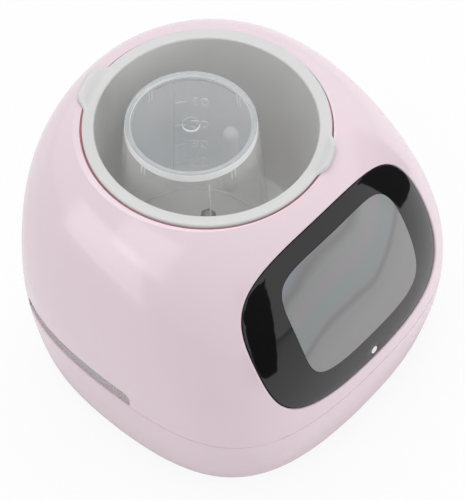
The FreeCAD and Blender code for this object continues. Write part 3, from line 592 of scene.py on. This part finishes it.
# measuring cup, upside down: foot ring on top, sunk base with the gate's boss, tapered wall
cupLow, cupHigh = boxOf("measuring_cup")
cupSettings = dict(
    centre=(cupLow + cupHigh).xy / 2, mouth=cupLow.z, top=cupHigh.z, wall=1.2, corner=0.8,
    baseRadius=17.0, mouthRadius=(cupHigh.x - cupLow.x) / 2, mouthEase=0.3, mouthLean=0.05,
    footWidth=1.35, footDepth=1.2, footRound=0.25, footRun=0.3, footRise=0.2, footLean=5.0,
    gateRadius=2.2, gateHeight=0.85, gateHollow=0.4, gateDish=0.6, gateLip=0.15, gateEase=0.1,
    steps=256, turnSteps=5, mouthBand=0.35, footBand=0.35, wallSlack=0.1, levelSlack=0.01, upright=0.6)
cupParts = ["clear_cup", "cupEdge", "cupRing", "cupBase", "cupGlint"]


def cupRadius(z):
    # outside of the wall
    s = cupSettings
    down = (s["top"] - z) / (s["top"] - s["mouth"])
    return s["baseRadius"] + (s["mouthRadius"] - s["baseRadius"]) * down


def cupOutline(angle):
    s = cupSettings
    sunk = s["top"] - s["footDepth"]
    under = sunk - s["wall"]
    turn = s["footRound"]
    footInner = s["baseRadius"] - s["footWidth"]
    gate = sunk + s["gateHeight"]
    dish = s["gateDish"]
    boss = [(0.0, gate - s["gateHollow"]), (dish * s["gateRadius"], gate - dish * s["gateHollow"]),
            (s["gateRadius"] - s["gateLip"], gate), (s["gateRadius"], gate - s["gateEase"]),
            (s["gateRadius"] + s["gateEase"], sunk)]
    foot = [(footInner - s["footRun"], sunk), (footInner, sunk + s["footRise"])]
    foot += arc((footInner + turn, s["top"] - turn), turn, 180, 90, s["turnSteps"])
    foot += arc((s["baseRadius"] - turn, s["top"] - turn), turn, 90, s["footLean"], s["turnSteps"])
    wall = [(cupRadius(under), under), (s["mouthRadius"] - s["mouthLean"], s["mouth"] + s["mouthEase"]),
            (s["mouthRadius"] - s["mouthEase"], s["mouth"]), (s["mouthRadius"] - s["wall"], s["mouth"])]
    inner = cupRadius(under) - s["wall"]
    corner = arc((inner - s["corner"], under - s["corner"]), s["corner"], 0, 90, s["turnSteps"])
    return boss + foot + wall + corner + [(0.0, under)]


def cupPart(polygon):
    # the wall and the base are clearest and the foot's ring is milkier; upright edges are whitest, partly from the
    # plastic's thickness and partly as a painted highlight
    s = cupSettings
    z = polygon.center.z / mm
    radius = radiusAt(polygon.center, s["centre"])
    footInner = s["baseRadius"] - s["footWidth"]
    if z < s["mouth"] + s["mouthBand"] and radius > s["mouthRadius"] - s["wall"] - s["wallSlack"]:
        return "cupEdge"
    if z < s["top"] - s["footDepth"] - s["wall"] - s["levelSlack"]:
        return "clear_cup"
    if abs(polygon.normal.z) < s["upright"]:
        return "cupGlint" if abs(radius - footInner) < s["footBand"] else "cupEdge"
    return "cupRing" if radius > footInner - s["footBand"] else "cupBase"


cupMesh = turned("cupLathe", cupOutline, cupSettings["steps"], cupSettings["centre"])
cupPiece = addPiece("cupMoulding", cupMesh, cupParts, "cup", creaseDegrees=50.0)
for polygon in cupMesh.polygons:
    polygon.material_index = cupParts.index(cupPart(polygon))
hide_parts("measuring_cup")
print("cup:", len(cupMesh.polygons), "faces")


# raised scale on the cup's far side, and the cup's two parting lines, one of them beside the scale
scaleSettings = dict(angle=57.0, lift=0.16, sink=0.05, lineWidth=0.42, lineTop=79.0, lineBottom=33.0,
                     tickLength=3.3, tickWidth=0.48, textStart=4.5, textHeight=3.5, textWeight=0.12,
                     textSteps=3, capitalShare=0.7,
                     marks=[("10", 68.5), ("20", 57.6), ("30", 47.9), ("40", 39.1)])


def onWall(along, z, out, start):
    # along runs round the wall from the angle start, out stands off its outside
    centre = cupSettings["centre"]
    radius = cupRadius(z)
    angle = math.radians(start) - along / radius
    return ((centre[0] + (radius + out) * math.cos(angle)) * mm,
            (centre[1] + (radius + out) * math.sin(angle)) * mm, z * mm)


def addBar(work, along0, along1, z0, z1, settings, start):
    # bar laid on the wall, in steps of about a millimetre round it
    count = max(1, math.ceil(abs(along1 - along0)))
    low = -settings["sink"]
    high = settings["lift"]
    sections = []
    for i in range(count + 1):
        along = along0 + (along1 - along0) * i / count
        corners = [(z0, low), (z0, high), (z1, high), (z1, low)]
        sections.append([work.verts.new(onWall(along, z, out, start)) for z, out in corners])
    for a, b in zip(sections, sections[1:]):
        for i in range(4):
            j = (i + 1) % 4
            work.faces.new((a[i], a[j], b[j], b[i]))
    work.faces.new(sections[0])
    work.faces.new(sections[-1][::-1])


def addText(work, words, z, settings):
    # the letters stand on the cup as it is used, so here they hang upside down
    curve = bpy.data.curves.new(words, "FONT")
    curve.body = words
    curve.size = settings["textHeight"] / settings["capitalShare"]
    curve.extrude = settings["lift"]
    curve.resolution_u = settings["textSteps"]
    curve.offset = settings["textWeight"]
    holder = bpy.data.objects.new(words, curve)
    bpy.context.scene.collection.objects.link(holder)
    view = bpy.context.evaluated_depsgraph_get()
    letters = bpy.data.meshes.new_from_object(holder.evaluated_get(view))
    bpy.data.objects.remove(holder)
    foot = z + settings["textHeight"] / 2
    for vertex in letters.vertices:
        x, y, out = vertex.co
        vertex.co = onWall(settings["textStart"] + x, foot - y, out, settings["angle"])
    work.from_mesh(letters)


def cupScale(settings):
    s = settings
    work = bmesh.new()
    half = s["lineWidth"] / 2
    halfTick = s["tickWidth"] / 2
    for lineAngle in (s["angle"], s["angle"] - 180.0):
        addBar(work, -half, half, s["lineBottom"], s["lineTop"], s, lineAngle)
    for face in work.faces:  # the lines are fainter than the ticks and numbers
        face.material_index = 1
    for words, z in s["marks"]:
        addBar(work, half, s["tickLength"], z - halfTick, z + halfTick, s, s["angle"])
        addText(work, words, z, s)
    mesh = bpy.data.meshes.new("cupScale")
    work.to_mesh(mesh)
    work.free()
    sameSide(mesh)
    return mesh


scaleMesh = cupScale(scaleSettings)
addPiece("cupScale", scaleMesh, ["cupMark", "cupLine"], "cup", creaseDegrees=30.0)
print("cup scale:", len(scaleMesh.polygons), "faces")


# four pairs of short stacking ribs inside the cup, under its base
ribSettings = dict(pairs=4, turn=-97.0, spacing=1.1, radius=0.22, bottom=75.4, top=80.6, segments=12,
                   rings=8)


def ribPattern(settings):
    s = settings
    cup = cupSettings
    middle = (s["bottom"] + s["top"]) / 2
    hub = (cup["centre"][0] * mm, cup["centre"][1] * mm, middle * mm)
    lean = math.atan2(cup["mouthRadius"] - cup["baseRadius"], cup["top"] - cup["mouth"])
    pattern = Pattern("cupRibs", {
        "Pairs": ("NodeSocketInt", s["pairs"]),
        "Turn": ("NodeSocketFloat", math.radians(s["turn"])),
        "Wall radius": ("NodeSocketFloat", (cupRadius(middle) - cup["wall"]) * mm),
        "Spacing": ("NodeSocketFloat", s["spacing"] * mm),
        "Rib radius": ("NodeSocketFloat", s["radius"] * mm),
        "Rib length": ("NodeSocketFloat", (s["top"] - s["bottom"]) * mm),
        "Lean": ("NodeSocketFloat", lean),
    })
    ball = pattern.node("GeometryNodeMeshUVSphere", None, {  # one across, so its scale is its size
        "Segments": s["segments"], "Rings": s["rings"], "Radius": 0.5})
    girth = 2.0 * pattern.given("Rib radius")
    rib = pattern.node("GeometryNodeTransform", None, {
        "Geometry": ball, "Scale": pattern.vector(girth, girth, pattern.given("Rib length")),
        "Rotation": pattern.vector(0.0, -1.0 * pattern.given("Lean"), 0.0)})
    pair = pattern.node("GeometryNodeMeshLine", None, {
        "Count": 2, "Start Location": pattern.vector(0.0, -0.5 * pattern.given("Spacing"), 0.0),
        "Offset": pattern.vector(0.0, pattern.given("Spacing"), 0.0)})
    pair = pattern.node("GeometryNodeInstanceOnPoints", None, {"Points": pair, "Instance": rib})
    ring = pattern.node("GeometryNodeMeshCircle", None, {
        "Vertices": pattern.given("Pairs"), "Radius": pattern.given("Wall radius")})
    ring = pattern.node("GeometryNodeTransform", None, {
        "Geometry": ring, "Rotation": pattern.vector(0.0, 0.0, pattern.given("Turn")),
        "Translation": hub})
    spot = pattern.node("GeometryNodeInputPosition")
    out = pattern.node("ShaderNodeVectorMath", {"operation": "SUBTRACT"}, {0: spot, 1: hub})
    facing = pattern.node("FunctionNodeAlignRotationToVector", {"axis": "X", "pivot_axis": "Z"},
                          {"Vector": out})
    ribs = pattern.node("GeometryNodeInstanceOnPoints", None, {
        "Points": ring, "Instance": pair, "Rotation": facing})
    return pattern.mesh(ribs, surfaces["cupMark"].material)


ribMesh = ribPattern(ribSettings)
addPiece("cupRibs", ribMesh, [], "cup", creaseDegrees=60.0)
print("cup ribs:", len(ribMesh.polygons), "faces")


# fine mesh in the air slots: small raised dots over the insert's outer face
dotSettings = dict(pitch=0.62, radius=0.2, flatness=0.5, seed=4, facing=0.7, mostPerSquareMetre=6.0e6)


def dotPattern(name, insert, side, settings):
    s = settings
    pattern = Pattern(name, {
        "Insert": ("NodeSocketObject", insert),
        "Side": ("NodeSocketFloat", side),
        "Pitch": ("NodeSocketFloat", s["pitch"] * mm),
        "Dot radius": ("NodeSocketFloat", s["radius"] * mm),
        "Flatness": ("NodeSocketFloat", s["flatness"]),
        "Seed": ("NodeSocketInt", s["seed"]),
    })
    plate = pattern.node("GeometryNodeObjectInfo", None, {"Object": pattern.given("Insert")},
                         output="Geometry")
    normal = pattern.node("GeometryNodeInputNormal")
    along = pattern.node("ShaderNodeVectorMath", {"operation": "DOT_PRODUCT"},
                         {0: normal, 1: pattern.vector(pattern.given("Side"), 0.0, 0.0)}, output="Value")
    outer = along.combine("GREATER_THAN", along, s["facing"])
    spread = pattern.node("GeometryNodeDistributePointsOnFaces", {"distribute_method": "POISSON"}, {
        "Mesh": plate, "Selection": outer, "Distance Min": pattern.given("Pitch"),
        "Density Max": s["mostPerSquareMetre"], "Seed": pattern.given("Seed")})
    spun = Value(pattern, spread.socket.node.outputs["Rotation"])
    dot = pattern.node("GeometryNodeMeshIcoSphere", None, {
        "Radius": pattern.given("Dot radius"), "Subdivisions": 1})
    dot = pattern.node("GeometryNodeTransform", None, {
        "Geometry": dot, "Scale": pattern.vector(1.0, 1.0, pattern.given("Flatness"))})
    dots = pattern.node("GeometryNodeInstanceOnPoints", None, {
        "Points": spread, "Instance": dot, "Rotation": spun})
    return pattern.mesh(dots, surfaces["grilleDot"].material)


for side, sideName in ((-1.0, "left"), (1.0, "right")):
    dotMesh = dotPattern("slotDots_" + sideName, nodes["grille_" + sideName], side, dotSettings)
    addPiece("slotDots_" + sideName, dotMesh, [], "housing", creaseDegrees=60.0)
    print("slot dots", sideName + ":", len(dotMesh.polygons), "faces")


# the photograph's view: degrees and mm
cameraSettings = dict(azimuth=-48.7, elevation=54.9, target=(-3.35, -2.97, 37.09), distance=594.05,
                      lens=158.4, sensor=36.0, nearest=10.0)


def addCamera(settings):
    azimuth = math.radians(settings["azimuth"])
    elevation = math.radians(settings["elevation"])
    right = Vector((math.cos(azimuth), math.sin(azimuth), 0.0))
    back = Vector((math.sin(azimuth) * math.cos(elevation), -math.cos(azimuth) * math.cos(elevation),
                   math.sin(elevation)))
    up = back.cross(right)
    data = bpy.data.cameras.new("camera")
    data.sensor_fit = "VERTICAL"
    data.sensor_height = settings["sensor"]
    data.lens = settings["lens"]
    data.clip_start = settings["nearest"] * mm
    camera = bpy.data.objects.new("camera", data)
    place = (Vector(settings["target"]) + settings["distance"] * back) * mm
    turn = Matrix((right, up, back)).transposed().to_4x4()
    camera.matrix_world = Matrix.Translation(place) @ turn
    bpy.context.scene.collection.objects.link(camera)
    bpy.context.scene.camera = camera


addCamera(cameraSettings)
print("camera ready")


# studio, in metres
stageSettings = dict(floorSize=6.0, floorColour=(0.93, 0.93, 0.93), floorRough=0.9, paperGlow=0.88,
                     skyStrength=0.485)
lamps = [
    dict(name="leftSoftbox", place=(-0.65, 0.05, 0.65), aim=(0.0, 0.0, 0.04), size=(0.45, 0.7), watts=1.6),
    dict(name="frontSoftbox", place=(0.55, -0.75, 0.25), aim=(0.0, 0.0, 0.05), size=(0.5, 0.4), watts=2.9,
         mirrored=False),
    dict(name="backSoftbox", place=(0.6, 0.5, 0.45), aim=(0.0, 0.0, 0.05), size=(0.5, 0.5), watts=0.8),
    dict(name="topSoftbox", place=(0.2, 0.3, 0.95), aim=(0.0, 0.0, 0.05), size=(0.8, 0.5), watts=3.0),
    dict(name="overSoftbox", place=(-0.05, -0.03, 1.0), aim=(0.0, 0.01, 0.05), size=(0.3, 0.3), watts=0.3),
    dict(name="sideCard", place=(-0.314, 0.129, 0.132), aim=(-0.042, 0.002, 0.068), size=(0.27, 0.25),
         watts=0.33, lights=False),
]
flags = [  # upright dark cards that only mirrors see, with the height of the lower edge at each end
    dict(name="leftFlag", start=(-0.056, -0.201), end=(-0.127, -0.176), lows=(0.002, 0.002), top=0.19),
    dict(name="rightFlag", start=(0.138, -0.113), end=(0.167, -0.044), lows=(0.030, 0.002), top=0.13),
]


def addCard(name, corners):
    mesh = bpy.data.meshes.new(name)
    mesh.from_pydata(corners, [], [(0, 1, 2, 3)])
    card = bpy.data.objects.new(name, mesh)
    bpy.context.scene.collection.objects.link(card)
    return card


def addFloor(settings):
    reach = settings["floorSize"] / 2
    floor = addCard("floor", [(-reach, -reach, 0), (reach, -reach, 0), (reach, reach, 0),
                              (-reach, reach, 0)])
    surface = Surface("floorPaper")
    surface.set(Base_Color=(*settings["floorColour"], 1.0), Roughness=settings["floorRough"])
    seen = surface.node("ShaderNodeLightPath", output="Is Camera Ray")
    glow = surface.node("ShaderNodeEmission", None, {"Color": (1.0, 1.0, 1.0, 1.0), "Strength": 1.0})
    paper = Value(surface, surface.shader.outputs[0])
    share = settings["paperGlow"] * seen
    mixed = surface.node("ShaderNodeMixShader", None, {0: share, 1: paper, 2: glow})
    surface.feed(surface.tree.nodes["Material Output"].inputs["Surface"], mixed)
    floor.data.materials.append(surface.material)


def addWorld(settings):
    world = bpy.data.worlds.new("studio")
    world.use_nodes = True
    bpy.context.scene.world = world
    sky = Graph(world.node_tree)
    path = sky.node("ShaderNodeLightPath", output="Is Camera Ray")
    rays = path.socket.node.outputs
    mirrored = Value(sky, rays["Is Glossy Ray"])
    through = Value(sky, rays["Is Transmission Ray"])
    seen = path.combine("MAXIMUM", path, mirrored.combine("MAXIMUM", mirrored, through))
    background = world.node_tree.nodes["Background"]
    background.inputs["Color"].default_value = (1.0, 1.0, 1.0, 1.0)
    dim = settings["skyStrength"]
    sky.feed(background.inputs["Strength"], dim + (1.0 - dim) * seen)


def addLamp(settings):
    data = bpy.data.lights.new(settings["name"], "AREA")
    data.shape = "RECTANGLE"
    data.size, data.size_y = settings["size"]
    data.energy = settings["watts"]
    lamp = bpy.data.objects.new(settings["name"], data)
    place = Vector(settings["place"])
    facing = (Vector(settings["aim"]) - place).to_track_quat("-Z", "Y")
    lamp.matrix_world = Matrix.Translation(place) @ facing.to_matrix().to_4x4()
    lamp.visible_camera = False
    lamp.visible_diffuse = settings.get("lights", True)
    lamp.visible_glossy = settings.get("mirrored", True)
    bpy.context.scene.collection.objects.link(lamp)


def addFlag(settings):
    start = settings["start"]
    end = settings["end"]
    startLow, endLow = settings["lows"]
    top = settings["top"]
    flag = addCard(settings["name"], [(*start, startLow), (*end, endLow), (*end, top), (*start, top)])
    flag.data.materials.append(surfaces["black_plastic"].material)
    flag.visible_camera = False
    flag.visible_diffuse = False
    flag.visible_shadow = False


for flagSettings in flags:
    addFlag(flagSettings)
addFloor(stageSettings)
addWorld(stageSettings)
for lampSettings in lamps:
    addLamp(lampSettings)
bpy.context.scene.view_settings.view_transform = "Standard"
print("stage ready")
